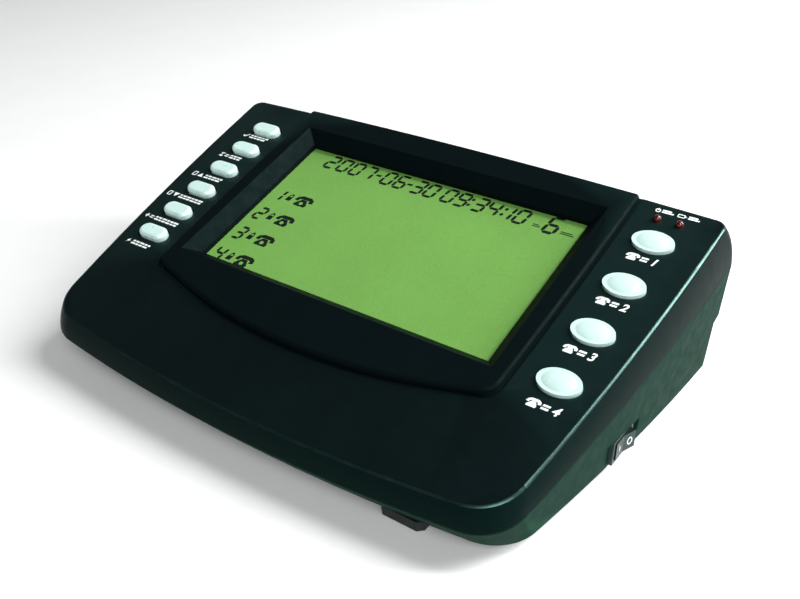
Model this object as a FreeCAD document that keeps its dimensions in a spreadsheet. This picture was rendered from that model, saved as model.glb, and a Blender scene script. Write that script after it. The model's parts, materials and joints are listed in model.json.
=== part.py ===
import FreeCAD, Part
import math
import os

import Sketcher
from FreeCAD import Placement, Rotation, Vector

# Desktop four-line call meter: a wedge-shaped casing with a sloping face that carries a large
# display, six function keys on the left and four line keys on the right.
# +X is the user's right, +Y the rear, +Z up. The origin is on the table, under the middle of the
# casing's bounding box. Lengths are millimetres and angles degrees.

SIZES = [
    # the sloping face: its origin is above the middle of the display
    ("face_tilt", 17.5, "slope of the face above the table"),
    ("face_y", 16.28, "face origin, towards the rear"),
    ("face_z", 49.29, "face origin, above the table"),
    ("deck_thick", 2.4, "top wall of the cover"),
    ("wall", 2.2, "side walls of the two casing halves"),
    ("deck_rear_half", 111.8, "half width of the face at its rear corners"),
    ("deck_rear_edge", 52.7, "rear corners, up the face"),
    ("deck_rear_bow", 2600, "radius of the bowed rear edge"),
    ("deck_front_half", 99.4, "half width of the face at its front corners"),
    ("deck_front_edge", 87.6, "front corners, down the face"),
    ("deck_front_bow", 700, "radius of the bowed front edge"),
    ("side_bow", 1070, "radius of the bowed sides"),
    ("front_corner", 17.0, "corner radius at the front"),
    ("rear_corner", 4.5, "corner radius at the rear"),
    ("deck_edge", 1.2, "rounding along the edge of the face"),
    # the waist: a section of the cover halfway down its skirt
    ("waist_rear_half", 113.5, "half width at the rear"),
    ("waist_rear_edge", 75.3, "rear corners"),
    ("waist_rear_bow", 4000, "radius of the rear edge"),
    ("waist_front_half", 100.6, "half width at the front"),
    ("waist_front_edge", 71.2, "front corners"),
    ("waist_front_bow", 738, "radius of the front edge"),
    # the split line between cover and base
    ("split_tilt", 13.09, "slope of the split line"),
    ("split_height", 30.14, "height of the split line above the origin"),
    ("split_rear_half", 114.4, "half width at the rear"),
    ("split_rear_edge", 77.0, "rear corners"),
    ("split_rear_bow", 6350, "radius of the rear edge"),
    ("split_front_half", 101.1, "half width at the front"),
    ("split_front_edge", 71.05, "front corners"),
    ("split_front_bow", 750, "radius of the front edge"),
    # the base casing
    ("foot_height", 4.0, "base above the table"),
    ("floor_thick", 2.4, "floor of the base"),
    ("base_rear_half", 112.4, "half width of the bottom at the rear"),
    ("base_rear_edge", 74.6, "rear corners of the bottom"),
    ("base_front_half", 101.0, "half width of the bottom at the front"),
    ("base_front_edge", 61.5, "front corners of the bottom"),
    ("base_front_bow", 688, "radius of the bottom's front edge"),
    ("base_edge", 0.8, "rounding along the bottom edge"),
    ("seam_edge", 0.35, "rounding along the two edges that meet at the split line"),
    ("step_y", 67.0, "lower rear wall, under the overhang"),
    ("step_z", 24.0, "underside of the rear overhang, at the lower wall"),
    ("lip_z", 29.5, "underside of the rear overhang, 11 mm further out"),
    ("shelf_z", 29.0, "inside floor of the rear overhang"),
    # the display and its bezel
    ("window_width", 132.0, "visible display"),
    ("window_depth", 74.5, "visible display"),
    ("bevel", 4.9, "width of the sloping border round the window"),
    ("bezel_rise", 2.4, "bezel above the face"),
    ("bezel_sink", 0.8, "bezel below the face"),
    ("bezel_rear_half", 78.2, "half width of the bezel at the rear"),
    ("bezel_rear_edge", 53.7, "rear corners of the bezel"),
    ("bezel_front_half", 76.4, "half width of the bezel at the front"),
    ("bezel_front_edge", 50.6, "front corners of the bezel"),
    ("bezel_front_bow", 235, "radius of the bezel's bowed front"),
    ("bezel_corner", 6.0, "front corner radius of the bezel"),
    ("bezel_edge", 1.5, "rounding of the bezel's top edge"),
    ("groove", 1.0, "groove round the bezel"),
    ("glass_drop", 4.8, "display glass below the face"),
    ("board_drop", 10.5, "main board below the face"),
    ("board_thick", 1.6, "circuit boards"),
    ("board_width", 197.0, "main board"),
    ("board_depth", 96.0, "main board"),
    # function keys
    ("fkey_count", 6, "function keys"),
    ("fkey_x", -90.8, "column of function keys"),
    ("fkey_top", 34.6, "first function key, up the face"),
    ("fkey_pitch", 14.7, "function key spacing"),
    ("fkey_length", 13.6, "cap"),
    ("fkey_width", 7.0, "cap"),
    ("fkey_rise", 2.4, "cap above the face"),
    # line keys
    ("lkey_count", 4, "line keys"),
    ("lkey_x", 92.3, "column of line keys"),
    ("lkey_top", 32.9, "first line key, up the face"),
    ("lkey_pitch", 23.4, "line key spacing"),
    ("lkey_length", 15.4, "cap"),
    ("lkey_width", 10.4, "cap"),
    ("lkey_side", 1.2, "straight side of the cap above the face"),
    ("lkey_dome", 1.9, "dome above the straight side"),
    ("key_gap", 0.3, "clearance round a key"),
    ("key_brim", 0.9, "brim that keeps a key in its hole"),
    ("key_travel", 1.2, "stroke of a key"),
    ("stem_drop", 6.0, "foot of a key's stem below the face"),
    # indicator lamps
    ("lamp_y", 45.0, "lamps, up the face"),
    ("power_lamp_x", 88.6, "power lamp"),
    ("battery_lamp_x", 97.0, "battery lamp"),
    ("lamp_radius", 1.45, "3 mm lamp"),
    ("lamp_hole", 1.6, "radius of a lamp's hole"),
    # power switch in the right-hand wall
    ("switch_y", -0.5, "middle of the switch"),
    ("switch_z", 9.8, "middle of the switch"),
    ("switch_floor_x", 107.2, "floor of the recess that holds the switch"),
    ("recess_front", -12.5, "front end of the recess"),
    ("recess_rear", 9.5, "rear end of the recess"),
    ("recess_low", 3.0, "bottom of the recess, open below"),
    ("recess_high", 14.6, "top of the recess"),
    ("switch_length", 15.4, "flange"),
    ("switch_width", 9.2, "flange"),
    ("flange_thick", 1.6, "flange"),
    ("switch_body_length", 13.2, "body behind the flange"),
    ("switch_body_width", 8.6, "body behind the flange"),
    ("switch_body_depth", 12.0, "body behind the flange"),
    ("rocker_throw", 9.0, "tilt each way from the middle"),
    ("pivot_drop", 0.8, "rocker pivot below the recess floor"),
    # sockets in the lower rear wall
    ("socket_pitch", 13.2, "width of one telephone socket"),
    ("socket_rows", 4, "sockets in one block"),
    ("socket_height", 12.0, "socket block"),
    ("socket_depth", 16.0, "socket block"),
    ("line_block_x", 49.5, "middle of the line-in block"),
    ("phone_block_x", -7.5, "middle of the telephone block"),
    ("dc_x", 86.0, "power inlet"),
    ("dc_bore", 3.15, "radius of the power inlet"),
    ("dc_pin", 1.0, "radius of the inlet's pin"),
    ("line_board_z", 9.0, "underside of the line board"),
    # battery and its door
    ("battery_x", -80.2, "middle of the battery"),
    ("battery_y", 39.2, "middle of the battery"),
    ("battery_z", 7.2, "underside of the battery"),
    ("battery_width", 26.5, "9 V block"),
    ("battery_length", 45.0, "9 V block"),
    ("battery_height", 17.5, "9 V block"),
    ("door_width", 33.0, "battery door"),
    ("door_front", 10.0, "front edge of the door"),
    ("door_skin", 1.1, "outer skin of the door"),
    ("door_tongue", 1.2, "tongues that run in the slots"),
    # fasteners
    ("post_radius", 4.0, "screw posts"),
    ("screw_radius", 1.5, "case screws"),
    ("screw_head", 2.9, "case screw heads"),
]

DOC = FreeCAD.newDocument("CallMeter")
SHEET = DOC.addObject("Spreadsheet::Sheet", "Dims")
NODES = []


def fill_sheet():
    """Write the driving dimensions, one per row, each with its alias and a note."""
    for row, (alias, value, note) in enumerate(SIZES, start=1):
        SHEET.set(f"A{row}", alias)
        SHEET.set(f"B{row}", str(value))
        SHEET.setAlias(f"B{row}", alias)
        SHEET.set(f"C{row}", note)
    DOC.recompute()


def dim(alias):
    return float(SHEET.get(alias))


fill_sheet()

FACE = Placement(
    Vector(0, dim("face_y"), dim("face_z")),
    Rotation(Vector(1, 0, 0), dim("face_tilt")),
)
SPLIT = Placement(
    Vector(0, 0, dim("split_height")),
    Rotation(Vector(1, 0, 0), dim("split_tilt")),
)
LEVEL = Placement()
# The switch's own frame: its z points out of the wall (+X) and its x to the rear (+Y).
SWITCH = Placement(
    Vector(dim("switch_floor_x"), dim("switch_y"), dim("switch_z")),
    Rotation(Vector(0, 1, 0), Vector(0, 0, 1), Vector(1, 0, 0), "ZXY"),
)


def moved(x=0.0, y=0.0, z=0.0, frame=LEVEL):
    """A placement at x, y, z of a frame."""
    return frame.multiply(Placement(Vector(x, y, z), Rotation()))


def keep(shape_object, label):
    """Name a finished sub-part, which also names its file."""
    if shape_object.TypeId == "PartDesign::Body" and len(shape_object.Shape.Solids) != 1:
        raise RuntimeError(f"{label} is not in one piece")
    shape_object.Label = label
    NODES.append(shape_object)
    return shape_object


# ---------------------------------------------------------------- sketches


def new_body(name, placement=LEVEL):
    body = DOC.addObject("PartDesign::Body", name)
    body.Placement = placement
    return body


def new_sketch(body, name, plane="XY_Plane", offset=LEVEL):
    sketch = body.newObject("Sketcher::SketchObject", name)
    support = next(item for item in body.Origin.OriginFeatures if item.Role == plane)
    sketch.AttachmentSupport = [(support, "")]
    sketch.MapMode = "FlatFace"
    sketch.AttachmentOffset = offset
    return sketch


def size(sketch, expression, kind, *where):
    """Add a dimension whose value follows the sheet."""
    value = sketch.evalExpression(expression)
    index = sketch.addConstraint(Sketcher.Constraint(kind, *where, float(value)))
    name = f"size{index}"
    sketch.renameConstraint(index, name)
    sketch.setExpression(f"Constraints.{name}", expression)


def rule(sketch, kind, *where):
    sketch.addConstraint(Sketcher.Constraint(kind, *where))


def value_of(sketch, expression):
    return float(sketch.evalExpression(expression))


def rectangle(sketch, width, depth, x="0", y="0"):
    """A rectangle of the given width and depth, centred on x, y."""
    half_w = value_of(sketch, width) / 2
    half_d = value_of(sketch, depth) / 2
    mid_x = value_of(sketch, x)
    mid_y = value_of(sketch, y)
    corners = [
        Vector(mid_x - half_w, mid_y - half_d, 0),
        Vector(mid_x + half_w, mid_y - half_d, 0),
        Vector(mid_x + half_w, mid_y + half_d, 0),
        Vector(mid_x - half_w, mid_y + half_d, 0),
    ]
    ends = corners[1:] + corners[:1]
    first = len(sketch.Geometry)
    for start, end in zip(corners, ends):
        sketch.addGeometry(Part.LineSegment(start, end))
    for side in range(4):
        rule(sketch, "Coincident", first + side, 2, first + (side + 1) % 4, 1)
    for side in (0, 2):
        rule(sketch, "Horizontal", first + side)
        rule(sketch, "Vertical", first + side + 1)
    size(sketch, width, "DistanceX", first, 1, first, 2)
    size(sketch, depth, "DistanceY", first + 1, 1, first + 1, 2)
    size(sketch, f"{x} - ({width}) / 2", "DistanceX", -1, 1, first, 1)
    size(sketch, f"{y} - ({depth}) / 2", "DistanceY", -1, 1, first, 1)


def polygon(sketch, points):
    """A closed outline of straight lines through the points: numbers or expressions."""
    corners = [Vector(value_of(sketch, str(x)), value_of(sketch, str(y)), 0) for x, y in points]
    count = len(corners)
    for index in range(count):
        sketch.addGeometry(Part.LineSegment(corners[index], corners[(index + 1) % count]))
    for index in range(count):
        rule(sketch, "Coincident", index, 2, (index + 1) % count, 1)
    for index, (x, y) in enumerate(points):
        size(sketch, str(x), "DistanceX", -1, 1, index, 1)
        size(sketch, str(y), "DistanceY", -1, 1, index, 1)


def circle(sketch, radius, x="0", y="0"):
    centre = Vector(value_of(sketch, x), value_of(sketch, y), 0)
    index = sketch.addGeometry(
        Part.Circle(centre, Vector(0, 0, 1), value_of(sketch, radius))
    )
    size(sketch, radius, "Radius", index)
    size(sketch, x, "DistanceX", -1, 1, index, 3)
    size(sketch, y, "DistanceY", -1, 1, index, 3)


def stadium(sketch, length, width, x="0", y="0"):
    """A slot shape with round ends, long side along x."""
    radius = value_of(sketch, width) / 2
    reach = value_of(sketch, length) / 2 - radius
    mid_x = value_of(sketch, x)
    mid_y = value_of(sketch, y)
    right = Part.Circle(Vector(mid_x + reach, mid_y, 0), Vector(0, 0, 1), radius)
    left = Part.Circle(Vector(mid_x - reach, mid_y, 0), Vector(0, 0, 1), radius)
    quarter = math.pi / 2
    first = sketch.addGeometry(Part.ArcOfCircle(right, -quarter, quarter))
    sketch.addGeometry(
        Part.LineSegment(
            Vector(mid_x + reach, mid_y + radius, 0),
            Vector(mid_x - reach, mid_y + radius, 0),
        )
    )
    sketch.addGeometry(Part.ArcOfCircle(left, quarter, 3 * quarter))
    sketch.addGeometry(
        Part.LineSegment(
            Vector(mid_x - reach, mid_y - radius, 0),
            Vector(mid_x + reach, mid_y - radius, 0),
        )
    )
    for side in range(4):
        rule(sketch, "Tangent", first + side, 2, first + (side + 1) % 4, 1)
    rule(sketch, "Horizontal", first + 1)
    rule(sketch, "Equal", first, first + 2)
    size(sketch, f"({width}) / 2", "Radius", first)
    size(sketch, f"{x} + ({length} - {width}) / 2", "DistanceX", -1, 1, first, 3)
    size(sketch, f"{x} - ({length} - {width}) / 2", "DistanceX", -1, 1, first + 2, 3)
    size(sketch, y, "DistanceY", -1, 1, first, 3)


def ellipse(sketch, length, width, x="0", y="0"):
    """An ellipse, long axis along x."""
    mid = Vector(value_of(sketch, x), value_of(sketch, y), 0)
    long_end = mid + Vector(value_of(sketch, length) / 2, 0, 0)
    short_end = mid + Vector(0, value_of(sketch, width) / 2, 0)
    index = sketch.addGeometry(Part.Ellipse(long_end, short_end, mid))
    sketch.exposeInternalGeometry(index)
    major = index + 1
    minor = index + 2
    rule(sketch, "Horizontal", major)
    size(sketch, length, "Distance", major)
    size(sketch, width, "Distance", minor)
    size(sketch, x, "DistanceX", -1, 1, index, 3)
    size(sketch, y, "DistanceY", -1, 1, index, 3)


def bow_centre(start, end, radius):
    """The centre of the counter-clockwise arc of a given radius from start to end."""
    chord = end - start
    half = chord.Length / 2
    normal = Vector(-chord.y, chord.x, 0).normalize()
    return start + chord / 2 + normal * math.sqrt(radius * radius - half * half)


def corner_centre(corner, one, other):
    """The centre nearest a corner that lies at given distances from two points."""
    (centre_a, reach_a), (centre_b, reach_b) = one, other
    span = centre_b - centre_a
    along = (span.Length**2 + reach_a**2 - reach_b**2) / (2 * span.Length)
    aside = math.sqrt(reach_a**2 - along**2)
    unit = Vector(span).normalize()
    foot = centre_a + unit * along
    sides = [foot + Vector(-unit.y, unit.x, 0) * aside * turn for turn in (1, -1)]
    return min(sides, key=corner.distanceToPoint)


def arc_between(centre, radius, start, end):
    """The counter-clockwise arc about a centre, from the direction of start to that of end."""
    begin = math.atan2(start.y - centre.y, start.x - centre.x)
    finish = math.atan2(end.y - centre.y, end.x - centre.x)
    if finish < begin:
        finish += 2 * math.pi
    return Part.ArcOfCircle(Part.Circle(centre, Vector(0, 0, 1), radius), begin, finish)


def shield(sketch, edges, bows, corners):
    """The casing's outline: four bowed sides and four rounded corners, alike left and right.

    edges: half width and edge at the rear, then at the front, measured from the sketch's origin
    to where the bowed sides would meet; bows: radii of the rear, side and front; corners: radii
    of the rear and front corners.
    """
    rear_x, rear_y, front_x, front_y = (value_of(sketch, edge) for edge in edges)
    rear_bow, flank_bow, front_bow = (value_of(sketch, bow) for bow in bows)
    rear_round, front_round = (value_of(sketch, corner) for corner in corners)
    points = [
        Vector(rear_x, rear_y, 0),
        Vector(-rear_x, rear_y, 0),
        Vector(-front_x, -front_y, 0),
        Vector(front_x, -front_y, 0),
    ]
    radii = [rear_bow, flank_bow, front_bow, flank_bow]
    rounds = [rear_round, rear_round, front_round, front_round]
    centres = [
        bow_centre(points[side], points[(side + 1) % 4], radii[side]) for side in range(4)
    ]
    turns = [
        corner_centre(
            points[side],
            (centres[side - 1], radii[side - 1] - rounds[side]),
            (centres[side], radii[side] - rounds[side]),
        )
        for side in range(4)
    ]
    for side in range(4):
        ends = (turns[side], turns[(side + 1) % 4])
        sketch.addGeometry(arc_between(centres[side], radii[side], *ends))
        after = (side + 1) % 4
        out = (turns[after] - centres[after]).normalize()
        reach = (turns[after] - centres[side]).normalize()
        sketch.addGeometry(
            arc_between(turns[after], rounds[after], turns[after] + reach, turns[after] + out)
        )
    for side in range(8):
        rule(sketch, "Tangent", side, 2, (side + 1) % 8, 1)
    rule(sketch, "Symmetric", 0, 1, 0, 2, -2)
    rule(sketch, "Symmetric", 4, 1, 4, 2, -2)
    rule(sketch, "Equal", 2, 6)
    rule(sketch, "Equal", 1, 7)
    rule(sketch, "Equal", 3, 5)
    for point, first, second, x, y in (
        (points[0], 6, 0, edges[0], edges[1]),
        (points[3], 4, 6, edges[2], f"-({edges[3]})"),
    ):
        mark = sketch.addGeometry(Part.Point(point), True)
        rule(sketch, "PointOnObject", mark, 1, first)
        rule(sketch, "PointOnObject", mark, 1, second)
        size(sketch, x, "DistanceX", -1, 1, mark, 1)
        size(sketch, y, "DistanceY", -1, 1, mark, 1)
    size(sketch, bows[0], "Radius", 0)
    size(sketch, bows[1], "Radius", 6)
    size(sketch, bows[2], "Radius", 4)
    size(sketch, corners[0], "Radius", 7)
    size(sketch, corners[1], "Radius", 5)


# ---------------------------------------------------------------- features


def grown(body, feature, sign):
    """Recompute, and make sure that the feature added (or took away) material."""
    before = body.Shape.Volume if not body.Shape.isNull() else 0.0
    DOC.recompute()
    after = body.Shape.Volume
    if (after - before) * sign < 1e-3:
        raise RuntimeError(f"{body.Name}.{feature.Name} changed the volume by {after - before:.4f}")
    return feature


def pad(body, sketch, length, both_ways=False, downwards=False):
    feature = body.newObject("PartDesign::Pad", "Pad")
    feature.Profile = sketch
    feature.SideType = "Symmetric" if both_ways else "One side"
    feature.Reversed = downwards
    feature.setExpression("Length", length)
    return grown(body, feature, +1)


def pocket(body, sketch, length=None, both_ways=False, upwards=False):
    """Cut a sketch into the body; without a length it goes right through."""
    feature = body.newObject("PartDesign::Pocket", "Pocket")
    feature.Profile = sketch
    feature.SideType = "Symmetric" if both_ways else "One side"
    feature.Reversed = upwards
    if length is None:
        feature.Type = "ThroughAll"
    else:
        feature.setExpression("Length", length)
    return grown(body, feature, -1)


def loft(body, kind, sketches, ruled):
    feature = body.newObject(f"PartDesign::{kind}", "Loft")
    feature.Profile = sketches[0]
    feature.Sections = sketches[1:]
    feature.Ruled = ruled
    return grown(body, feature, +1 if kind == "AdditiveLoft" else -1)


def row(body, feature, sketch, axis, length, count):
    """Repeat a feature along an axis of its sketch."""
    pattern = body.newObject("PartDesign::LinearPattern", "Row")
    pattern.Originals = [feature]
    pattern.Direction = (sketch, [axis])
    pattern.setExpression("Length", length)
    pattern.setExpression("Occurrences", count)
    body.Tip = pattern
    before = feature.Shape.Volume
    DOC.recompute()
    if abs(body.Shape.Volume - before) < 1e-3:
        raise RuntimeError(f"{body.Name}.{pattern.Name} repeated nothing")
    return pattern


def outer_edges(shape, plane, tolerance=0.01):
    """Names of the edges around the flat face that lies in a plane (a placement in the shape's frame)."""
    to_plane = plane.inverse()
    for face in shape.Faces:
        if max(abs(to_plane.multVec(vertex.Point).z) for vertex in face.Vertexes) < tolerance:
            loop = face.OuterWire.Edges
            break
    else:
        raise RuntimeError("no face lies in that plane")
    edges = enumerate(shape.Edges, start=1)
    return [f"Edge{index}" for index, edge in edges if any(edge.isSame(other) for other in loop)]


def round_edges(body, base, names, radius):
    feature = body.newObject("PartDesign::Fillet", "Fillet")
    feature.Base = (base, names)
    feature.setExpression("Radius", radius)
    DOC.recompute()
    if "Invalid" in feature.State or not body.Shape.isValid():
        raise RuntimeError(f"{body.Name}.{feature.Name} failed")
    return feature


# ---------------------------------------------------------------- plain solids


def block(name, sizes, place, frame=LEVEL):
    """A box, centred on x and y of its place, standing on z. Sizes are expressions."""
    box = DOC.addObject("Part::Box", name)
    for side, expression in zip(("Length", "Width", "Height"), sizes):
        box.setExpression(side, expression)
    DOC.recompute([box])
    x, y, z = place
    box.Placement = moved(x - box.Length.Value / 2, y - box.Width.Value / 2, z, frame)
    return box


def rod(name, radius, height, place, frame=LEVEL):
    """An upright cylinder, standing on z of its place."""
    cylinder = DOC.addObject("Part::Cylinder", name)
    cylinder.setExpression("Radius", radius)
    cylinder.setExpression("Height", height)
    cylinder.Placement = moved(*place, frame)
    return cylinder


def spike(name, foot, head, height, place, frame=LEVEL):
    """An upright cone with a foot radius and a head radius."""
    cone = DOC.addObject("Part::Cone", name)
    cone.setExpression("Radius1", foot)
    cone.setExpression("Radius2", head)
    cone.setExpression("Height", height)
    cone.Placement = moved(*place, frame)
    return cone


def fused(name, pieces):
    union = DOC.addObject("Part::MultiFuse", name)
    union.Shapes = pieces
    return union


def drilled(name, base, tools):
    """The base with every tool cut out of it."""
    cut = DOC.addObject("Part::Cut", name)
    cut.Base = base
    cut.Tool = tools[0] if len(tools) == 1 else fused(f"{name}Tools", tools)
    return cut


def group(name, pieces):
    """Separate, alike pieces that share one node."""
    compound = DOC.addObject("Part::Compound", name)
    compound.Links = pieces
    return compound


# ---------------------------------------------------------------- the casing


def deck_height(y):
    """Height of the sloping face above the table at a distance y from the origin."""
    slope = math.tan(math.radians(dim("face_tilt")))
    return dim("face_z") + (y - dim("face_y")) * slope


def split_height(y):
    return dim("split_height") + y * math.tan(math.radians(dim("split_tilt")))


def waist_plane():
    """The plane halfway down the cover's skirt, between the face and the split line."""
    middle = (deck_height(0) + split_height(0)) / 2
    tilt = (dim("face_tilt") + dim("split_tilt")) / 2
    return Placement(Vector(0, 0, middle), Rotation(Vector(1, 0, 0), tilt))


def cover_sections(body, inset, top):
    """The cover's outline at the face, the waist and the split line, drawn in by an inset."""
    planes = [
        ("deck", moved(z=top)),
        ("waist", FACE.inverse().multiply(waist_plane())),
        ("split", FACE.inverse().multiply(SPLIT)),
    ]
    sections = []
    for plane, offset in planes:
        sketch = new_sketch(body, plane.capitalize(), offset=offset)
        edges = [
            f"Dims.{plane}_{edge} - {inset}"
            for edge in ("rear_half", "rear_edge", "front_half", "front_edge")
        ]
        bows = (f"Dims.{plane}_rear_bow", "Dims.side_bow", f"Dims.{plane}_front_bow")
        corners = (f"Dims.rear_corner - {inset}", f"Dims.front_corner - {inset}")
        shield(sketch, edges, bows, corners)
        sections.append(sketch)
    return sections


FRONT_POSTS = [(-88.0, -50.0), (88.0, -50.0)]
NOSE_POSTS = [(0.0, -60.0)]
REAR_POSTS = [(-103.5, 58.0), (103.5, 58.0)]
POST_GROUPS = [FRONT_POSTS, NOSE_POSTS, REAR_POSTS]
REAR_POST_TOP = 30.0
POST_DROP = 1.5
BOSS_GAP = 0.1
PEGS = [(-60.0, 49.3), (60.0, 49.3), (-60.0, -48.6), (60.0, -48.6)]
BOARD_POSTS = [(side * 78.2, y) for side in (-1, 1) for y in (-44.0, 0.0, 44.0)]


def post_top(y):
    """Height at which a base post ends and the cover's boss begins."""
    return REAR_POST_TOP if y > 0 else split_height(y) - POST_DROP


def cover_bosses(body):
    """Upright bosses under the face that take the case screws."""
    deck_bite = 1.3
    for posts in POST_GROUPS:
        y = posts[0][1]
        bottom = post_top(y) + BOSS_GAP
        offset = FACE.inverse().multiply(moved(z=bottom))
        sketch = new_sketch(body, "Bosses", offset=offset)
        for x, y in posts:
            circle(sketch, "Dims.post_radius - 0.8", str(x), str(y))
        pad(body, sketch, str(round(deck_height(y) - deck_bite - bottom, 3)))
        holes = new_sketch(body, "BossHoles", offset=offset)
        for x, y in posts:
            circle(holes, "Dims.screw_radius - 0.3", str(x), str(y))
        pocket(body, holes, "7.5", upwards=True)


def top_cover():
    body = new_body("TopCover", FACE)
    outer = loft(body, "AdditiveLoft", cover_sections(body, "0", 0), ruled=False)
    edge = round_edges(body, outer, outer_edges(outer.Shape, LEVEL), "Dims.deck_edge")
    seam = outer_edges(edge.Shape, FACE.inverse().multiply(SPLIT))
    round_edges(body, edge, seam, "Dims.seam_edge")
    inner = cover_sections(body, "Dims.wall", -dim("deck_thick"))
    loft(body, "SubtractiveLoft", inner, ruled=False)

    recess = new_sketch(body, "BezelRecess")
    shield(
        recess,
        (
            "Dims.bezel_rear_half + Dims.groove",
            "Dims.bezel_rear_edge + 20",
            "Dims.bezel_front_half + Dims.groove",
            "Dims.bezel_front_edge + Dims.groove",
        ),
        ("Dims.deck_rear_bow", "Dims.deck_rear_bow", "Dims.bezel_front_bow + Dims.groove"),
        ("Dims.groove", "Dims.bezel_corner + Dims.groove"),
    )
    pocket(body, recess, "Dims.bezel_sink")

    openings = new_sketch(body, "Openings")
    rectangle(openings, "Dims.window_width + 6.4", "Dims.window_depth + 6.4")
    for x, y in PEGS:
        circle(openings, "1.5", str(x), str(y))
    for x in ("Dims.power_lamp_x", "Dims.battery_lamp_x"):
        circle(openings, "Dims.lamp_hole", x, "Dims.lamp_y")
    pocket(body, openings)

    slot = new_sketch(body, "FunctionKeyHole")
    stadium(
        slot,
        "Dims.fkey_length + 2 * Dims.key_gap",
        "Dims.fkey_width + 2 * Dims.key_gap",
        "Dims.fkey_x",
        "Dims.fkey_top - Dims.fkey_pitch * (Dims.fkey_count - 1)",
    )
    hole = pocket(body, slot, "Dims.deck_thick * 2")
    row(body, hole, slot, "V_Axis", "Dims.fkey_pitch * (Dims.fkey_count - 1)", "Dims.fkey_count")

    oval = new_sketch(body, "LineKeyHole")
    ellipse(
        oval,
        "Dims.lkey_length + 2 * Dims.key_gap",
        "Dims.lkey_width + 2 * Dims.key_gap",
        "Dims.lkey_x",
        "Dims.lkey_top - Dims.lkey_pitch * (Dims.lkey_count - 1)",
    )
    hole = pocket(body, oval, "Dims.deck_thick * 2")
    row(body, hole, oval, "V_Axis", "Dims.lkey_pitch * (Dims.lkey_count - 1)", "Dims.lkey_count")

    posts = new_sketch(body, "BoardPosts", offset=moved(z=-dim("deck_thick")))
    for x, y in BOARD_POSTS:
        circle(posts, "2.5", str(x), str(y))
    pad(body, posts, "Dims.board_drop - Dims.deck_thick", downwards=True)
    holes = new_sketch(body, "BoardPostHoles", offset=moved(z=-dim("board_drop")))
    for x, y in BOARD_POSTS:
        circle(holes, "1.05", str(x), str(y))
    pocket(body, holes, "6", upwards=True)

    cover_bosses(body)
    return keep(body, "top_cover")


def base_shell(body):
    """The base's outer form, hollowed, with its overhang at the rear."""
    bottom = new_sketch(body, "Bottom", offset=moved(z=dim("foot_height")))
    shield(
        bottom,
        (
            "Dims.base_rear_half",
            "Dims.base_rear_edge",
            "Dims.base_front_half",
            "Dims.base_front_edge",
        ),
        ("Dims.split_rear_bow", "Dims.side_bow", "Dims.base_front_bow"),
        ("Dims.rear_corner", "Dims.front_corner"),
    )
    rim = new_sketch(body, "Rim", offset=SPLIT)
    shield(
        rim,
        (
            "Dims.split_rear_half",
            "Dims.split_rear_edge",
            "Dims.split_front_half",
            "Dims.split_front_edge",
        ),
        ("Dims.split_rear_bow", "Dims.side_bow", "Dims.split_front_bow"),
        ("Dims.rear_corner", "Dims.front_corner"),
    )
    loft(body, "AdditiveLoft", [bottom, rim], ruled=True)

    floor = new_sketch(body, "Floor", offset=moved(z=dim("foot_height") + dim("floor_thick")))
    shield(
        floor,
        (
            "Dims.base_rear_half - Dims.wall",
            "Dims.step_y - Dims.wall",
            "Dims.base_front_half - Dims.wall",
            "Dims.base_front_edge - Dims.wall / 2",
        ),
        ("Dims.split_rear_bow", "Dims.side_bow", "Dims.base_front_bow"),
        ("Dims.rear_corner - Dims.wall", "Dims.front_corner - Dims.wall"),
    )
    inner_rim = new_sketch(body, "InnerRim", offset=SPLIT)
    shield(
        inner_rim,
        (
            "Dims.split_rear_half - Dims.wall",
            "(Dims.step_y - Dims.wall) / cos(Dims.split_tilt * 1deg)",
            "Dims.split_front_half - Dims.wall",
            "Dims.split_front_edge - Dims.wall",
        ),
        ("Dims.split_rear_bow", "Dims.side_bow", "Dims.split_front_bow"),
        ("Dims.rear_corner - Dims.wall", "Dims.front_corner - Dims.wall"),
    )
    hollow = loft(body, "SubtractiveLoft", [floor, inner_rim], ruled=True)
    low = round_edges(body, hollow, outer_edges(hollow.Shape, bottom.AttachmentOffset), "Dims.base_edge")
    round_edges(body, low, outer_edges(low.Shape, SPLIT), "Dims.seam_edge")

    step = new_sketch(body, "RearStep", plane="YZ_Plane")
    slope = "(Dims.lip_z - Dims.step_z) / 11"
    polygon(
        step,
        [
            ("Dims.step_y", "-10"),
            ("Dims.step_y + 33", "-10"),
            ("Dims.step_y + 33", f"Dims.step_z + 33 * {slope}"),
            ("Dims.step_y", "Dims.step_z"),
        ],
    )
    pocket(body, step, both_ways=True)
    shelf = new_sketch(body, "Shelf", offset=moved(z=dim("shelf_z")))
    rectangle(shelf, "220", "14", "0", "Dims.base_rear_edge - Dims.wall - 7")
    pocket(body, shelf, upwards=True)


def base_posts(body):
    """Posts for the case screws, from the floor up to the cover's bosses."""
    for posts in POST_GROUPS:
        sketch = new_sketch(body, "Posts", offset=moved(z=dim("foot_height")))
        for x, y in posts:
            circle(sketch, "Dims.post_radius", str(x), str(y))
        pad(body, sketch, str(round(post_top(posts[0][1]) - dim("foot_height"), 3)))
    shanks = new_sketch(body, "ScrewHoles", offset=moved(z=dim("foot_height")))
    heads = new_sketch(body, "ScrewHeads", offset=moved(z=dim("foot_height")))
    for x, y in FRONT_POSTS + NOSE_POSTS + REAR_POSTS:
        circle(shanks, "Dims.screw_radius + 0.2", str(x), str(y))
        circle(heads, "Dims.screw_head + 0.3", str(x), str(y))
    pocket(body, shanks, upwards=True)
    pocket(body, heads, "4", upwards=True)


BOARD_STANDS = [(-30.0, 38.0), (21.0, 38.0), (93.0, 38.0), (94.5, 61.0)]


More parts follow.
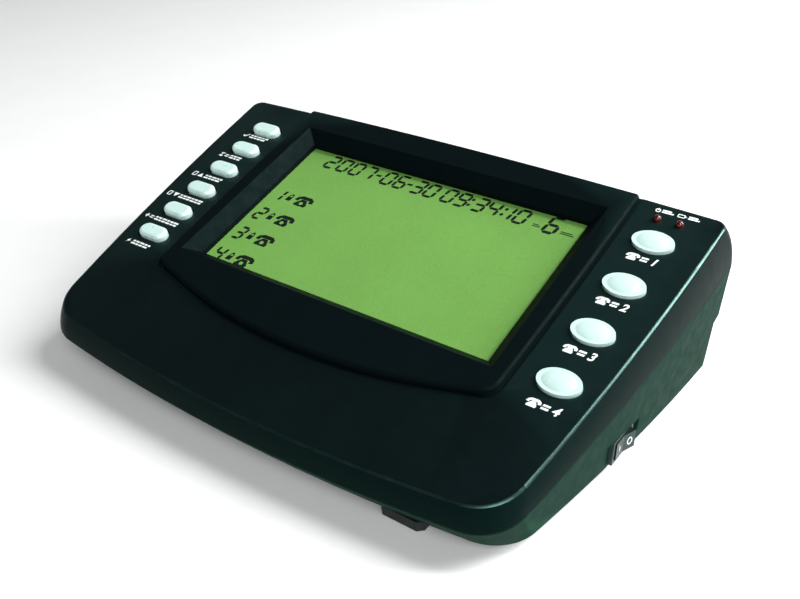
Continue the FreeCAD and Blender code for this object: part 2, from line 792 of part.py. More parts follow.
def base_stands(body):
    """Short stands that carry the line board."""
    floor = dim("foot_height") + dim("floor_thick")
    sketch = new_sketch(body, "BoardStands", offset=moved(z=dim("foot_height")))
    for x, y in BOARD_STANDS:
        circle(sketch, "3", str(x), str(y))
    pad(body, sketch, "Dims.line_board_z - Dims.foot_height")
    holes = new_sketch(body, "BoardStandHoles", offset=moved(z=floor - 1))
    for x, y in BOARD_STANDS:
        circle(holes, "1.05", str(x), str(y))
    pocket(body, holes, upwards=True)


def battery_bay(body):
    """The battery's bay, with slots in which the door slides out to the rear."""
    bottom = dim("foot_height")
    x = "Dims.battery_x"
    plinth = new_sketch(body, "BayPlinth", offset=moved(z=bottom))
    rectangle(plinth, "Dims.door_width + 5.4", "58.3", x, "Dims.step_y - 0.1 - 58.3 / 2")
    pad(body, plinth, "4")
    walls = new_sketch(body, "BayWalls", offset=moved(z=bottom + 3))
    rectangle(walls, "Dims.battery_width + 4", "53.2", x, "37")
    pad(body, walls, "19.6")
    room = new_sketch(body, "BayRoom", offset=moved(z=bottom))
    rectangle(room, "Dims.battery_width + 0.8", "50", x, "37")
    pocket(body, room, "20.9", upwards=True)
    slot_length = "(Dims.step_y + 5 - Dims.door_front + 0.2)"
    slot_y = "Dims.step_y + 5 - " + slot_length + " / 2"
    skin = new_sketch(body, "DoorSlot", offset=moved(z=bottom))
    rectangle(skin, "Dims.door_width + 0.4", slot_length, x, slot_y)
    pocket(body, skin, "Dims.door_skin + 0.5", upwards=True)
    tongue = new_sketch(body, "TongueSlot", offset=moved(z=bottom + dim("door_skin") - 0.1))
    rectangle(tongue, "Dims.door_width + 2 * Dims.door_tongue + 0.4", slot_length, x, slot_y)
    pocket(body, tongue, "Dims.door_tongue + 0.25", upwards=True)


def switch_recess(body):
    """A sunk panel in the right-hand wall that holds the power switch."""
    margin = 2.0
    backing = 4.0
    length = dim("recess_rear") - dim("recess_front") + 2 * margin
    mid_y = (dim("recess_rear") + dim("recess_front")) / 2
    height = dim("recess_high") + margin - dim("foot_height")
    plate = new_sketch(
        body, "SwitchPanel", plane="YZ_Plane", offset=moved(z=dim("switch_floor_x") - backing)
    )
    rectangle(plate, str(length), str(height), str(mid_y), str(dim("foot_height") + height / 2))
    feature = body.newObject("PartDesign::Pad", "PanelPad")
    feature.Profile = plate
    feature.Type = "UpToFirst"
    grown(body, feature, +1)
    recess = new_sketch(
        body, "SwitchRecess", plane="YZ_Plane", offset=moved(z=dim("switch_floor_x"))
    )
    rectangle(
        recess,
        "Dims.recess_rear - Dims.recess_front",
        "Dims.recess_high - Dims.recess_low",
        "(Dims.recess_rear + Dims.recess_front) / 2",
        "(Dims.recess_high + Dims.recess_low) / 2",
    )
    pocket(body, recess, "20", upwards=True)
    opening = new_sketch(
        body, "SwitchOpening", plane="YZ_Plane", offset=moved(z=dim("switch_floor_x") + 1)
    )
    rectangle(
        opening,
        "Dims.switch_body_length + 0.3",
        "Dims.switch_body_width + 0.3",
        "Dims.switch_y",
        "Dims.switch_z",
    )
    pocket(body, opening, "22")


def rear_openings(body):
    """Openings in the lower rear wall for the sockets and the power inlet."""
    inside = moved(z=-(dim("step_y") - dim("wall") - 1))
    openings = new_sketch(body, "SocketOpenings", plane="XZ_Plane", offset=inside)
    deck = "Dims.line_board_z + Dims.board_thick"
    for x in ("Dims.line_block_x", "Dims.phone_block_x"):
        rectangle(
            openings,
            "Dims.socket_pitch * Dims.socket_rows + 0.4",
            "Dims.socket_height + 0.4",
            x,
            f"{deck} + Dims.socket_height / 2",
        )
    rectangle(openings, "9.4", "11.4", "Dims.dc_x", f"{deck} + 5.5")
    pocket(body, openings, "Dims.wall + 2")


def sounder_slots(body):
    """Slots in the floor below the sounder."""
    slot = new_sketch(body, "SounderSlot", offset=moved(z=dim("foot_height")))
    stadium(slot, "18", "1.6", "-40", "-16")
    hole = pocket(body, slot, "Dims.floor_thick", upwards=True)
    row(body, hole, slot, "V_Axis", "16", "5")


def base_casing():
    body = new_body("BaseCasing")
    base_shell(body)
    base_posts(body)
    base_stands(body)
    battery_bay(body)
    switch_recess(body)
    rear_openings(body)
    sounder_slots(body)
    label = new_sketch(body, "LabelRecess", offset=moved(z=dim("foot_height")))
    rectangle(label, "70", "36", "34", "-6")
    pocket(body, label, "0.4", upwards=True)
    return keep(body, "base_casing")


# ---------------------------------------------------------------- display


def display_bezel():
    """The raised surround, with a sloping border down to the window."""
    body = new_body("DisplayBezel", FACE)
    outline = new_sketch(body, "Outline", offset=moved(z=-dim("bezel_sink")))
    shield(
        outline,
        (
            "Dims.bezel_rear_half",
            "Dims.bezel_rear_edge",
            "Dims.bezel_front_half",
            "Dims.bezel_front_edge",
        ),
        ("Dims.deck_rear_bow", "Dims.deck_rear_bow", "Dims.bezel_front_bow"),
        ("Dims.bezel_edge", "Dims.bezel_corner"),
    )
    plate = pad(body, outline, "Dims.bezel_sink + Dims.bezel_rise")
    rim = outer_edges(plate.Shape, moved(z=dim("bezel_rise")))
    round_edges(body, plate, rim, "Dims.bezel_edge")

    skirt = new_sketch(body, "Skirt", offset=moved(z=-dim("bezel_sink")))
    rectangle(skirt, "Dims.window_width + 5", "Dims.window_depth + 5")
    pad(body, skirt, "Dims.glass_drop - Dims.bezel_sink - 0.2", downwards=True)
    pegs = new_sketch(body, "Pegs", offset=moved(z=-dim("bezel_sink")))
    for x, y in PEGS:
        circle(pegs, "1.4", str(x), str(y))
    pad(body, pegs, "4", downwards=True)

    window = new_sketch(body, "Window")
    rectangle(window, "Dims.window_width", "Dims.window_depth")
    pocket(body, window)
    low = new_sketch(body, "BevelFoot", offset=moved(z=-dim("deck_thick")))
    rectangle(low, "Dims.window_width", "Dims.window_depth")
    high = new_sketch(body, "BevelTop", offset=moved(z=dim("bezel_rise")))
    rectangle(high, "Dims.window_width + 2 * Dims.bevel", "Dims.window_depth + 2 * Dims.bevel")
    loft(body, "SubtractiveLoft", [low, high], ruled=True)
    return keep(body, "display_bezel")


def lcd_glass():
    """Two panes: the rear one is deeper, so that its contacts stay free."""
    front = block("FrontPane", ("142", "80", "1.1"), (0, 0, -dim("glass_drop") - 1.1), FACE)
    rear = block("RearPane", ("142", "86", "1.1"), (0, 0, -dim("glass_drop") - 2.2), FACE)
    return keep(fused("LcdGlass", [front, rear]), "lcd_glass")


def lcd_backlight():
    panel = block("LcdBacklight", ("138", "80", "3.3"), (0, 0, 0.1 - dim("board_drop")), FACE)
    return keep(panel, "lcd_backlight")


def zebra_strips():
    """Rubber contact strips between the glass and the main board."""
    strips = [
        block(f"ZebraStrip{number}", ("130", "1.6", "3.4"), (0, y, 0.05 - dim("board_drop")), FACE)
        for number, y in enumerate((-41.7, 41.7), start=1)
    ]
    return keep(group("ZebraStrips", strips), "zebra_strips")


def lcd_frame():
    """The frame that holds the glass against the contact strips."""
    height = "Dims.board_drop - Dims.deck_thick - 0.1"
    outer = block("FrameOuter", ("150", "94", height), (0, 0, -dim("board_drop")), FACE)
    inner = block("FrameInner", ("143", "87", "20"), (0, 0, -dim("board_drop") - 5), FACE)
    return keep(drilled("LcdFrame", outer, [inner]), "lcd_frame")


# ---------------------------------------------------------------- keys and lamps


def key_parts(body, cap_shape, length, width, rise, stem):
    """A key's cap, the brim that keeps it in its hole, and its stem."""
    seat = dim("deck_thick") + 0.1
    brim_thick = 1.0
    cap = new_sketch(body, "Cap", offset=moved(z=-seat))
    cap_shape(cap, length, width)
    top = pad(body, cap, f"{rise} + Dims.deck_thick + 0.1")
    brim = new_sketch(body, "Brim", offset=moved(z=-seat))
    cap_shape(brim, f"{length} + 2 * Dims.key_brim", f"{width} + 2 * Dims.key_brim")
    pad(body, brim, str(brim_thick), downwards=True)
    foot = new_sketch(body, "Stem", offset=moved(z=-seat - brim_thick))
    circle(foot, stem)
    last = pad(body, foot, f"Dims.stem_drop - {seat + brim_thick}", downwards=True)
    return top, last


def function_key(number):
    y = dim("fkey_top") - dim("fkey_pitch") * (number - 1)
    body = new_body(f"FunctionKey{number}", moved(dim("fkey_x"), y, 0, FACE))
    top, last = key_parts(
        body, stadium, "Dims.fkey_length", "Dims.fkey_width", "Dims.fkey_rise", "2.2"
    )
    rim = outer_edges(last.Shape, moved(z=dim("fkey_rise")))
    round_edges(body, last, rim, "1.4")
    return keep(body, f"function_key_{number}")


def line_key(number):
    y = dim("lkey_top") - dim("lkey_pitch") * (number - 1)
    body = new_body(f"LineKey{number}", moved(dim("lkey_x"), y, 0, FACE))
    key_parts(body, ellipse, "Dims.lkey_length", "Dims.lkey_width", "Dims.lkey_side", "2.8")
    dome = body.newObject("PartDesign::AdditiveEllipsoid", "Dome")
    dome.setExpression("Radius1", "Dims.lkey_dome")
    dome.setExpression("Radius2", "Dims.lkey_length / 2")
    dome.setExpression("Radius3", "Dims.lkey_width / 2")
    dome.Angle1 = 0
    dome.AttachmentOffset = moved(z=dim("lkey_side"))
    grown(body, dome, +1)
    return keep(body, f"line_key_{number}")


def key_mat(name, label, place, sizes, domes):
    """A rubber mat on the main board with one sprung dome per key."""
    x, y = place
    top = -dim("board_drop")
    sheet = block(f"{name}Sheet", (*sizes, "1.2"), (x, y, top), FACE)
    pieces = [sheet]
    for number, (dome_x, dome_y) in enumerate(domes, start=1):
        where = (dome_x, dome_y, top + 1.2)
        pieces.append(spike(f"{name}Dome{number}", "3.4", "2.4", "1.8", where, FACE))
    return keep(fused(name, pieces), label)


def key_mats():
    left = [
        (dim("fkey_x"), dim("fkey_top") - dim("fkey_pitch") * step)
        for step in range(int(dim("fkey_count")))
    ]
    right = [
        (dim("lkey_x"), dim("lkey_top") - dim("lkey_pitch") * step)
        for step in range(int(dim("lkey_count")))
    ]
    key_mat("KeyMatLeft", "key_mat_left", (-90.5, -2), ("16", "88"), left)
    key_mat("KeyMatRight", "key_mat_right", (91.2, -2), ("14.4", "88"), right)


def lamp(name, label, x):
    """A 3 mm lamp on two legs that stand on the main board."""
    y = dim("lamp_y")
    flange = -dim("deck_thick") - 1.0
    foot = -dim("board_drop")
    bulb = rod(f"{name}Bulb", "Dims.lamp_radius", "4", (x, y, flange), FACE)
    dome = DOC.addObject("Part::Sphere", f"{name}Dome")
    dome.setExpression("Radius", "Dims.lamp_radius")
    dome.Placement = moved(x, y, flange + 4, FACE)
    collar = rod(f"{name}Collar", "1.9", "0.8", (x, y, flange - 0.4), FACE)
    legs = [
        block(f"{name}Leg{number}", ("0.5", "0.5", str(flange - foot)), (x + side, y, foot), FACE)
        for number, side in enumerate((-0.7, 0.7), start=1)
    ]
    return keep(fused(name, [bulb, dome, collar, *legs]), label)


# ---------------------------------------------------------------- circuit boards


def screw(name, frame, length, core, head, head_thick, slot):
    """A pan-head screw with a crossed recess: its head below z = 0 and its tip at +z."""
    shank = rod(f"{name}Shank", core, str(length + 0.5), (0, 0, -0.5), frame)
    cap = rod(f"{name}Head", head, str(head_thick), (0, 0, -head_thick), frame)
    long_slot = (slot, "0.6", "0.8")
    cross_slot = ("0.6", slot, "0.8")
    cuts = [
        block(f"{name}Slot1", long_slot, (0, 0, -head_thick), frame),
        block(f"{name}Slot2", cross_slot, (0, 0, -head_thick), frame),
    ]
    return drilled(name, fused(f"{name}Solid", [shank, cap]), cuts)


def main_board():
    board = block(
        "MainBoardSheet",
        ("Dims.board_width", "Dims.board_depth", "Dims.board_thick"),
        (0, 0, -dim("board_drop") - dim("board_thick")),
        FACE,
    )
    holes = [
        rod(f"MainBoardHole{number}", "1.3", "10", (x, y, -dim("board_drop") - 5), FACE)
        for number, (x, y) in enumerate(BOARD_POSTS, start=1)
    ]
    return keep(drilled("MainBoard", board, holes), "main_board")


def main_board_screws():
    under = -dim("board_drop") - dim("board_thick")
    screws = [
        screw(f"MainScrew{number}", moved(x, y, under, FACE), 6.8, "1.0", "2.2", 1.4, "2.8")
        for number, (x, y) in enumerate(BOARD_POSTS, start=1)
    ]
    return keep(group("MainBoardScrews", screws), "main_board_screws")


def microcontroller():
    """The controller chip under the main board, on two rows of legs."""
    top = -dim("board_drop") - dim("board_thick")
    chip = block("Chip", ("10", "26", "2.2"), (0, 0, top - 2.6), FACE)
    legs = [
        block(f"ChipLeg{side}{step}", ("1.4", "0.6", "0.5"), (side * 5.4, step * 2 - 11, top - 0.5))
        for side in (-1, 1)
        for step in range(12)
    ]
    for leg in legs:
        leg.Placement = FACE.multiply(leg.Placement)
    necks = [
        block(f"ChipNeck{side}", ("0.8", "23", "1.2"), (side * 5.1, 0, top - 1.4), FACE)
        for side in (-1, 1)
    ]
    return keep(fused("Microcontroller", [chip, *legs, *necks]), "microcontroller")


def sounder():
    """A sounder on the floor, over the slots."""
    floor = dim("foot_height") + dim("floor_thick")
    can = rod("SounderCan", "15", "5", (-40, -8, floor))
    throat = rod("SounderThroat", "11", "1.5", (-40, -8, floor))
    return keep(drilled("Sounder", can, [throat]), "sounder")


def line_board():
    sheet = block("LineBoardSheet", ("131", "30", "Dims.board_thick"), (31.5, 49, dim("line_board_z")))
    holes = [
        rod(f"LineBoardHole{number}", "1.3", "8", (x, y, 6))
        for number, (x, y) in enumerate(BOARD_STANDS, start=1)
    ]
    return keep(drilled("LineBoard", sheet, holes), "line_board")


def line_board_screws():
    top = dim("line_board_z") + dim("board_thick")
    over = Rotation(Vector(1, 0, 0), 180)
    screws = [
        screw(f"LineScrew{number}", Placement(Vector(x, y, top), over), 4.8, "1.0", "2.2", 1.4, "2.8")
        for number, (x, y) in enumerate(BOARD_STANDS, start=1)
    ]
    return keep(group("LineBoardScrews", screws), "line_board_screws")


PORT_WIDTH = 9.7
PORT_HEIGHT = 6.8
PORT_DEPTH = 11.0
PORT_FLOOR = 1.6
SOCKET_FACE = 0.2


def port_places(block_x):
    """Middles of the ports in one block."""
    pitch = dim("socket_pitch")
    return [block_x + pitch * (step - 1.5) for step in range(int(dim("socket_rows")))]


def socket_block(name, label, block_x):
    """Four telephone sockets in one block, each with a notch for the plug's latch."""
    deck = dim("line_board_z") + dim("board_thick")
    face = dim("step_y") - SOCKET_FACE
    body = block(
        f"{name}Body",
        ("Dims.socket_pitch * Dims.socket_rows", "Dims.socket_depth", "Dims.socket_height"),
        (block_x, face - dim("socket_depth") / 2, deck),
    )
    cuts = []
    for number, x in enumerate(port_places(block_x), start=1):
        port = (str(PORT_WIDTH), str(PORT_DEPTH + 1), str(PORT_HEIGHT))
        notch = ("4", str(PORT_DEPTH + 1), "3")
        y = face - PORT_DEPTH / 2 + 0.5
        cuts.append(block(f"{name}Port{number}", port, (x, y, deck + PORT_FLOOR)))
        cuts.append(
            block(f"{name}Notch{number}", notch, (x, y, deck + PORT_FLOOR + PORT_HEIGHT - 1))
        )
    return keep(drilled(name, body, cuts), label)


def socket_contacts():
    """Four contact wires on the floor of each socket."""
    deck = dim("line_board_z") + dim("board_thick")
    face = dim("step_y") - SOCKET_FACE
    wires = []
    for block_x in (dim("phone_block_x"), dim("line_block_x")):
        for x in port_places(block_x):
            for step in range(4):
                name = f"Contact{len(wires) + 1}"
                where = (x + (step - 1.5) * 1.02, face - 6.5, deck + PORT_FLOOR)
                wires.append(block(name, ("0.5", "8", "0.5"), where))
    return keep(group("SocketContacts", wires), "socket_contacts")


def dc_inlet():
    """The power inlet: a housing with a round bore, and its pin as a sub-part of its own."""
    deck = dim("line_board_z") + dim("board_thick")
    face = dim("step_y") - SOCKET_FACE
    out = Rotation(Vector(1, 0, 0), -90)
    housing = block("DcHousing", ("9", "14", "11"), (dim("dc_x"), face - 7, deck))
    bore = rod("DcBore", "Dims.dc_bore", "10", (0, 0, 0))
    bore.Placement = Placement(Vector(dim("dc_x"), face - 9.5, deck + 5.5), out)
    keep(drilled("DcInlet", housing, [bore]), "dc_inlet")
    pin = rod("DcPin", "Dims.dc_pin", "8", (0, 0, 0))
    pin.Placement = Placement(Vector(dim("dc_x"), face - 9.5, deck + 5.5), out)
    return keep(pin, "dc_pin")


RELAY_PLACES = [(-22.0, 43.0), (-9.0, 43.0), (4.0, 43.0), (36.0, 43.0)]
CAPACITOR_PLACES = [(76.5, 38.0), (76.5, 46.2), (86.5, 45.0)]


def line_parts():
    """Relays and capacitors on the line board."""
    deck = dim("line_board_z") + dim("board_thick")
    relays = [
        block(f"Relay{number}", ("10.5", "14", "11.5"), (x, y, deck))
        for number, (x, y) in enumerate(RELAY_PLACES, start=1)
    ]
    keep(group("Relays", relays), "relays")
    cans = [
        rod(f"Capacitor{number}", "3.95", "12", (x, y, deck))
        for number, (x, y) in enumerate(CAPACITOR_PLACES, start=1)
    ]
    keep(group("Capacitors", cans), "capacitors")


def ribbon_cable():
    """A flat cable between the two boards, with a plug at each end."""
    deck = dim("line_board_z") + dim("board_thick")
    under = -dim("board_drop") - dim("board_thick")
    low = block("LowPlug", ("22", "5", "6"), (60, 40, deck))
    high = block("HighPlug", ("22", "5", "6"), (60, 20, under - 6), FACE)
    body = new_body("Flex")
    side = new_sketch(body, "Side", plane="YZ_Plane", offset=moved(z=60))
    outline = [(39.6, 15), (40.4, 15), (37.4, 25), (41.4, 38.6), (40.6, 38.8), (36.6, 25)]
    polygon(side, outline)
    pad(body, side, "20", both_ways=True)
    return keep(fused("RibbonCable", [low, high, body]), "ribbon_cable")


# ---------------------------------------------------------------- power switch


def switch_housing():
    outer = [
        block(
            "SwitchBody",
            (
                "Dims.switch_body_length",
                "Dims.switch_body_width",
                "Dims.switch_body_depth + Dims.flange_thick",
            ),
            (0, 0, -dim("switch_body_depth")),
            SWITCH,
        ),
        block(
            "SwitchFlange",
            ("Dims.switch_length", "Dims.switch_width", "Dims.flange_thick"),
            (0, 0, 0),
            SWITCH,
        ),
    ]
    cavity = block("SwitchCavity", ("12.6", "7.0", "10"), (0, 0, -5), SWITCH)
    across = Rotation(Vector(1, 0, 0), -90)
    holes = rod("TrunnionHoles", "1.0", "8.2", (0, 0, 0))
    holes.Placement = SWITCH.multiply(
        Placement(Vector(0, -4.1, -dim("pivot_drop")), across)
    )
    return keep(drilled("SwitchHousing", fused("SwitchSolid", outer), [cavity, holes]), "switch_housing")


def power_rocker():
    """The rocker at rest: its front end pressed, tilted about its trunnions."""
    rest = Placement(
        Vector(0, 0, 0),
        Rotation(Vector(0, 1, 0), -dim("rocker_throw")),
        Vector(0, 0, -dim("pivot_drop")),
    )
    tilted = SWITCH.multiply(rest)
    body = new_body("Rocker", tilted)
    side = new_sketch(body, "Side", plane="XZ_Plane")
    polygon(side, [(-5.6, -1.6), (0, -3.4), (5.6, -1.6), (5.6, 3.0), (0, 2.0), (-5.6, 3.0)])
    pad(body, side, "6.8", both_ways=True)
    pins = new_sketch(body, "Trunnions", plane="XZ_Plane")
    circle(pins, "0.95", "0", "-Dims.pivot_drop")
    pad(body, pins, "8", both_ways=True)
    return keep(body, "power_rocker")


def switch_terminals():
    foot = -dim("switch_body_depth") - 7
    blades = [
        block(f"Terminal{number}", ("0.8", "4.8", "7"), (x, 0, foot), SWITCH)
        for number, x in enumerate((-3.5, 3.5), start=1)
    ]
    return keep(group("SwitchTerminals", blades), "switch_terminals")


# ---------------------------------------------------------------- battery, feet, screws


def battery():
    x, y, z = (dim(name) for name in ("battery_x", "battery_y", "battery_z"))
    case = block(
        "BatteryCase",
        ("Dims.battery_width", "Dims.battery_length", "Dims.battery_height"),
        (x, y, z),
    )
    front = y - dim("battery_length") / 2
    forward = Rotation(Vector(1, 0, 0), 90)
    studs = []
    for number, (side, radius) in enumerate(((-6.35, "2.9"), (6.35, "4.0")), start=1):
        stud = rod(f"Stud{number}", radius, "2.4", (0, 0, 0))
        middle = z + dim("battery_height") / 2
        stud.Placement = Placement(Vector(x + side, front, middle), forward)
        studs.append(stud)
    keep(fused("Battery", [case, *studs]), "battery")
    plate = block("BatteryContacts", ("24", "2", "15"), (x, front - 3.5, z + 1.2))
    return keep(plate, "battery_contacts")


def battery_door():
    """A sliding door: an outer skin, and wider tongues that run in the base's slots."""
    bottom = dim("foot_height")
    body = new_body("BatteryDoor")
    length = "(Dims.step_y - 0.2 - Dims.door_front)"
    middle = "(Dims.step_y - 0.2 + Dims.door_front) / 2"
    skin = new_sketch(body, "Skin", offset=moved(z=bottom))
    rectangle(skin, "Dims.door_width", length, "Dims.battery_x", middle)
    pad(body, skin, "Dims.door_skin")
    tongues = new_sketch(body, "Tongues", offset=moved(z=bottom + dim("door_skin")))
    wide = "Dims.door_width + 2 * Dims.door_tongue"
    rectangle(tongues, wide, length, "Dims.battery_x", middle)
    pad(body, tongues, "Dims.door_tongue")
    grip = new_sketch(body, "Grip", offset=moved(z=bottom))
    stadium(grip, "16", "1.2", "Dims.battery_x", "46")
    hole = pocket(body, grip, "0.5", upwards=True)
    row(body, hole, grip, "V_Axis", "10", "5")
    return keep(body, "battery_door")


FEET = [
    ("foot_front_right", 64.2, -61.8),
    ("foot_front_left", -68.0, -52.0),
    ("foot_rear_right", 68.0, 42.0),
    ("foot_rear_left", -38.0, 55.0),
]


def foot(label, x, y):
    body = new_body(label.title().replace("_", ""), moved(x, y, 0))
    outline = new_sketch(body, "Outline")
    ends = [("8.5", "2.5"), ("6.5", "4.5"), ("-6.5", "4.5"), ("-8.5", "2.5")]
    polygon(outline, ends + [(f"-({x})", f"-({y})") for x, y in ends])
    block_pad = pad(body, outline, "Dims.foot_height")
    round_edges(body, block_pad, outer_edges(block_pad.Shape, LEVEL), "0.7")
    return keep(body, label)


def case_screws():
    seat = dim("foot_height") + 4
    screws = []
    for x, y in FRONT_POSTS + NOSE_POSTS + REAR_POSTS:
        name = f"CaseScrew{len(screws) + 1}"
        length = post_top(y) + 6.4 - seat
        screws.append(
            screw(
                name,
                moved(x, y, seat),
                round(length, 2),
                "Dims.screw_radius - 0.35",
                "Dims.screw_head",
                2.0,
                "3.6",
            )
        )
    return keep(group("CaseScrews", screws), "case_screws")


# ---------------------------------------------------------------- build


def build_all():
    top_cover()
    base_casing()
    display_bezel()
    lcd_glass()
    lcd_backlight()
    zebra_strips()
    lcd_frame()
    for number in range(1, int(dim("fkey_count")) + 1):
        function_key(number)
    for number in range(1, int(dim("lkey_count")) + 1):
        line_key(number)
    key_mats()
    lamp("PowerLamp", "power_lamp", dim("power_lamp_x"))
    lamp("BatteryLamp", "battery_lamp", dim("battery_lamp_x"))
    main_board()
    main_board_screws()
    microcontroller()
    sounder()
    line_board()
    line_board_screws()
    socket_block("PhoneSockets", "phone_socket_block", dim("phone_block_x"))
    socket_block("LineSockets", "line_socket_block", dim("line_block_x"))
    socket_contacts()
    dc_inlet()
    line_parts()
    ribbon_cable()
    switch_housing()
    power_rocker()
    switch_terminals()
    battery()
    battery_door()
    for label, x, y in FEET:
        foot(label, x, y)
    case_screws()


def check_all():
    """Stop if any object failed to compute, or if a sub-part has no sound solid."""
    DOC.recompute()
    broken = [
        f"{item.Name} {item.State}"
        for item in DOC.Objects
        if "Invalid" in item.State or "Error" in item.State
    ]
    for node in NODES:
        if node.Shape.isNull() or not node.Shape.isValid() or not node.Shape.Solids:
            broken.append(f"{node.Label}: no valid solid")
    if broken:
        raise RuntimeError("; ".join(broken))


def write_steps():
    os.makedirs("parts", exist_ok=True)
    for node in NODES:
        node.Shape.exportStep(f"parts/{node.Label}.step")
        box = node.Shape.BoundBox
        print(f"{node.Label}: {box.XLength:.1f} x {box.YLength:.1f} x {box.ZLength:.1f} mm")


build_all()
check_all()
write_steps()
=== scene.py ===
import json
import math

import bmesh
import bpy
from mathutils import Matrix, Vector


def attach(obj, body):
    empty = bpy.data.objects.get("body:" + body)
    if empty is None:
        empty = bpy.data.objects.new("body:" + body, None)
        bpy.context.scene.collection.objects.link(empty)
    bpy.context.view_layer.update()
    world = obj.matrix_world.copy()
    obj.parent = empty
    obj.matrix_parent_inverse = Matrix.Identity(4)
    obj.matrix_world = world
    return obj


# Looks of a desktop call meter: materials, printed legends, the display's characters, floor,
# lights and camera. Shapes are drawn in millimetres in the frame of the face they lie on.

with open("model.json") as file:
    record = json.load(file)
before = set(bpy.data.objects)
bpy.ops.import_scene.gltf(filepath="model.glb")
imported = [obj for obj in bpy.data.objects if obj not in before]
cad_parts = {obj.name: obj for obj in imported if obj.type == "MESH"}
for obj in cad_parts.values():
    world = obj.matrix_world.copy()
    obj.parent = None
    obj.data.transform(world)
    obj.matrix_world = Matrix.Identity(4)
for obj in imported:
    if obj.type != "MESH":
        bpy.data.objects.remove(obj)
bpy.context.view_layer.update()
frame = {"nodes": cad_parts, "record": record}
nodes = frame["nodes"]

MM = 0.001
FACE = Matrix.Translation((0, 0.01628, 0.04929)) @ Matrix.Rotation(math.radians(17.5), 4, "X")
SWITCH_CENTRE = (0.1072, -0.0005, 0.0098)
GLASS_TOP = -4.8
PRINT_THICK = 0.05
LEGEND_SLANT = 0.15

FUNCTION_KEY_TOP = 34.6
FUNCTION_KEY_PITCH = 14.7
LINE_KEY_TOP = 32.9
LINE_KEY_PITCH = 23.4
LAMP_LEGEND_Y = 49.0

DISPLAY_SLANT = 0.16
CLOCK_Y = 28.6
ROW_COUNT = 4
ROW_PITCH = 12.9
FIRST_ROW_Y = 2.6

FACE_SHINE = 0.18
EDGE_SHINE = 0.9
DARK = (0.0020, 0.0045, 0.0052)
DARK_WORN = (0.006, 0.018, 0.017)
# Painted light: the skirt's tone, lighter and greener than the face, as its lit sides look.
SKIRT_PAINTED_LIGHT = (0.0022, 0.0085, 0.0075)
# Painted light: the lower casing's dark plastic, made greener and lighter as its lit sides look; the
# worn tone at the edges is lighter still.
SIDE_PAINTED_LIGHT = (0.0075, 0.029, 0.020)
SIDE_WORN_PAINTED_LIGHT = (0.012, 0.055, 0.032)
MINT_TINT = (0.50, 1.0, 0.92, 1.0)


# ---------------------------------------------------------------- materials


def add(tree, kind, **values):
    """Add a shader node and set its sockets by name."""
    node = tree.nodes.new(kind)
    for name, value in values.items():
        node.inputs[name.replace("_", " ")].default_value = value
    return node


def noise(tree, place, scale, detail=3.0):
    """A noise value over the object's own coordinates."""
    node = add(tree, "ShaderNodeTexNoise", Scale=scale, Detail=detail)
    tree.links.new(place.outputs["Object"], node.inputs["Vector"])
    return node.outputs["Fac"]


def spread(tree, value, low, high):
    """Map a noise value's middle range to low and high."""
    node = add(tree, "ShaderNodeMapRange", From_Min=0.3, From_Max=0.7, To_Min=low, To_Max=high)
    tree.links.new(value, node.inputs["Value"])
    return node.outputs["Result"]


def mixed(tree, factor, first, second):
    """Mix two colours; each is a colour or another node's output."""
    node = tree.nodes.new("ShaderNodeMix")
    node.data_type = "RGBA"
    tree.links.new(factor, node.inputs["Factor"])
    for name, value in (("A", first), ("B", second)):
        socket = next(s for s in node.inputs if s.name == name and s.type == "RGBA")
        if isinstance(value, tuple):
            socket.default_value = (*value, 1.0)
        else:
            tree.links.new(value, socket)
    return next(s for s in node.outputs if s.type == "RGBA")


def shade(color, amount):
    """A colour made darker or lighter."""
    return tuple(min(1.0, channel * amount) for channel in color)


def surface(name, color, rough, grain=3000.0, bump=0.15, mottle=0.12, wear=None, **shader):
    """A finished surface: fine grain, uneven gloss and colour, and wear along the edges."""
    material = bpy.data.materials.new(name)
    material.use_nodes = True
    tree = material.node_tree
    bsdf = tree.nodes["Principled BSDF"]
    for socket, value in shader.items():
        bsdf.inputs[socket.replace("_", " ")].default_value = value
    place = tree.nodes.new("ShaderNodeTexCoord")

    blotch = noise(tree, place, 35.0, detail=5.0)
    tone = spread(tree, blotch, 0.0, 1.0)
    base = mixed(tree, tone, shade(color, 1 - mottle), shade(color, 1 + mottle))
    if wear is not None:
        edge = tree.nodes.new("ShaderNodeNewGeometry")
        ramp = add(tree, "ShaderNodeMapRange", From_Min=0.52, From_Max=0.60, To_Max=0.6)
        tree.links.new(edge.outputs["Pointiness"], ramp.inputs["Value"])
        base = mixed(tree, ramp.outputs["Result"], base, wear)
    tree.links.new(base, bsdf.inputs["Base Color"])

    gloss = spread(tree, noise(tree, place, 220.0, detail=6.0), rough * 0.85, rough * 1.15)
    tree.links.new(gloss, bsdf.inputs["Roughness"])

    relief = add(tree, "ShaderNodeBump", Strength=bump, Distance=0.00005)
    tree.links.new(noise(tree, place, grain), relief.inputs["Height"])
    tree.links.new(relief.outputs["Normal"], bsdf.inputs["Normal"])
    return material


def board_surface(name):
    """Solder mask over copper tracks: tracks show as paler lines under the green."""
    material = surface(name, (0.012, 0.09, 0.035), 0.35, grain=1500.0, bump=0.1)
    tree = material.node_tree
    bsdf = tree.nodes["Principled BSDF"]
    place = tree.nodes.new("ShaderNodeTexCoord")
    tracks = add(tree, "ShaderNodeTexBrick", Scale=120.0, Mortar_Size=0.06)
    tree.links.new(place.outputs["Object"], tracks.inputs["Vector"])
    green = bsdf.inputs["Base Color"].links[0].from_socket
    tone = mixed(tree, tracks.outputs["Fac"], green, (0.05, 0.22, 0.08))
    tree.links.new(tone, bsdf.inputs["Base Color"])
    return material


